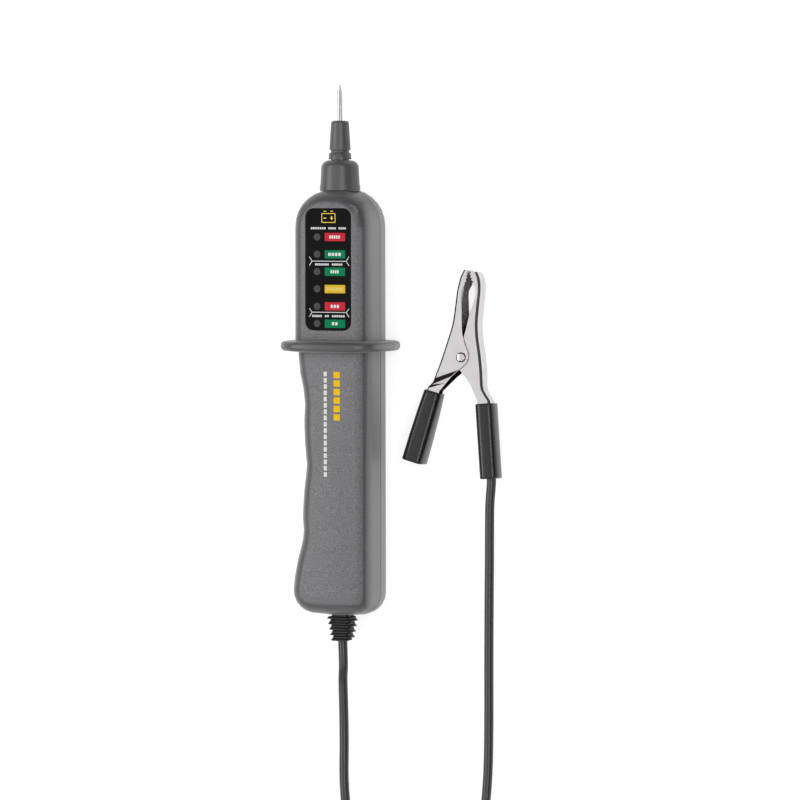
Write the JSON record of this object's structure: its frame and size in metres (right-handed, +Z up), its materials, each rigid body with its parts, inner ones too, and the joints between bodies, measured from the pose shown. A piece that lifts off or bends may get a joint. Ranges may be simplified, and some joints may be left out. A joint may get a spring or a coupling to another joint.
{
  "type": "voltage tester",
  "caption": "Handheld car battery and alternator tester with a probe needle, finger guard, lamp display and a lead to a crocodile clip.",
  "frame": {"origin": "on the table, under the middle of the tester's own length and width, without its lead and clip", "axes": "+Y towards the probe's point, +X to the right of the display, +Z up; the tester lies on its back on its finger guard and its tail"},
  "size_m": [0.0882, 0.3468, 0.035],
  "materials": {
    "housing_plastic": "fine moulded grain",
    "label_film": "satin film",
    "lamp_plastic": "clear moulded",
    "polished_steel": "polished",
    "nickel_plate": "bright nickel plate",
    "zinc_steel": "zinc plate",
    "black_rubber": "matt",
    "black_vinyl": "smooth satin vinyl",
    "black_lead": "smooth satin PVC",
    "wire_insulation": "smooth",
    "board_laminate": "solder mask",
    "chip_epoxy": "matt moulding",
    "component_lacquer": "lacquer"
  },
  "bodies": {
    "tester": {"front_shell": "housing_plastic", "rear_shell": "housing_plastic", "probe_collar": "housing_plastic", "probe_sleeve": "housing_plastic", "display_label": "label_film", "lamp_1": "lamp_plastic", "lamp_2": "lamp_plastic", "lamp_3": "lamp_plastic", "lamp_4": "lamp_plastic", "lamp_5": "lamp_plastic", "lamp_6": "lamp_plastic", "probe_needle": "polished_steel", "fixed_jaw": "nickel_plate", "clip_rivet": "nickel_plate", "lead_crimp": "nickel_plate", "shell_screw_1": "zinc_steel", "shell_screw_2": "zinc_steel", "shell_screw_3": "zinc_steel", "shell_screw_4": "zinc_steel", "clip_spring": "zinc_steel", "strain_relief": "black_rubber", "fixed_grip": "black_vinyl", "coil_tie": "black_vinyl", "lead_tester_side": "black_lead", "lead_clip_side": "black_lead", "lead_coil": "black_lead", "inner_lead": "black_lead", "probe_wire": "wire_insulation", "circuit_board": "board_laminate", "comparator_chip": "chip_epoxy", "polarity_diode": "chip_epoxy", "resistor_1": "component_lacquer", "resistor_2": "component_lacquer", "resistor_3": "component_lacquer", "resistor_4": "component_lacquer", "resistor_5": "component_lacquer"},
    "free_arm": {"free_jaw": "nickel_plate", "free_grip": "black_vinyl"}
  },
  "joints": [
    {"name": "clip_hinge", "type": "hinge", "parent": "tester", "child": "free_arm", "pos_m": [0.0497, 0.0032, 0.006], "axis": [0, 0, 1], "range_deg": [0, 25], "stiffness_Nm_per_rad": 0.3, "springref_deg": -5.73, "deforming": ["clip_spring"]}
  ]
}
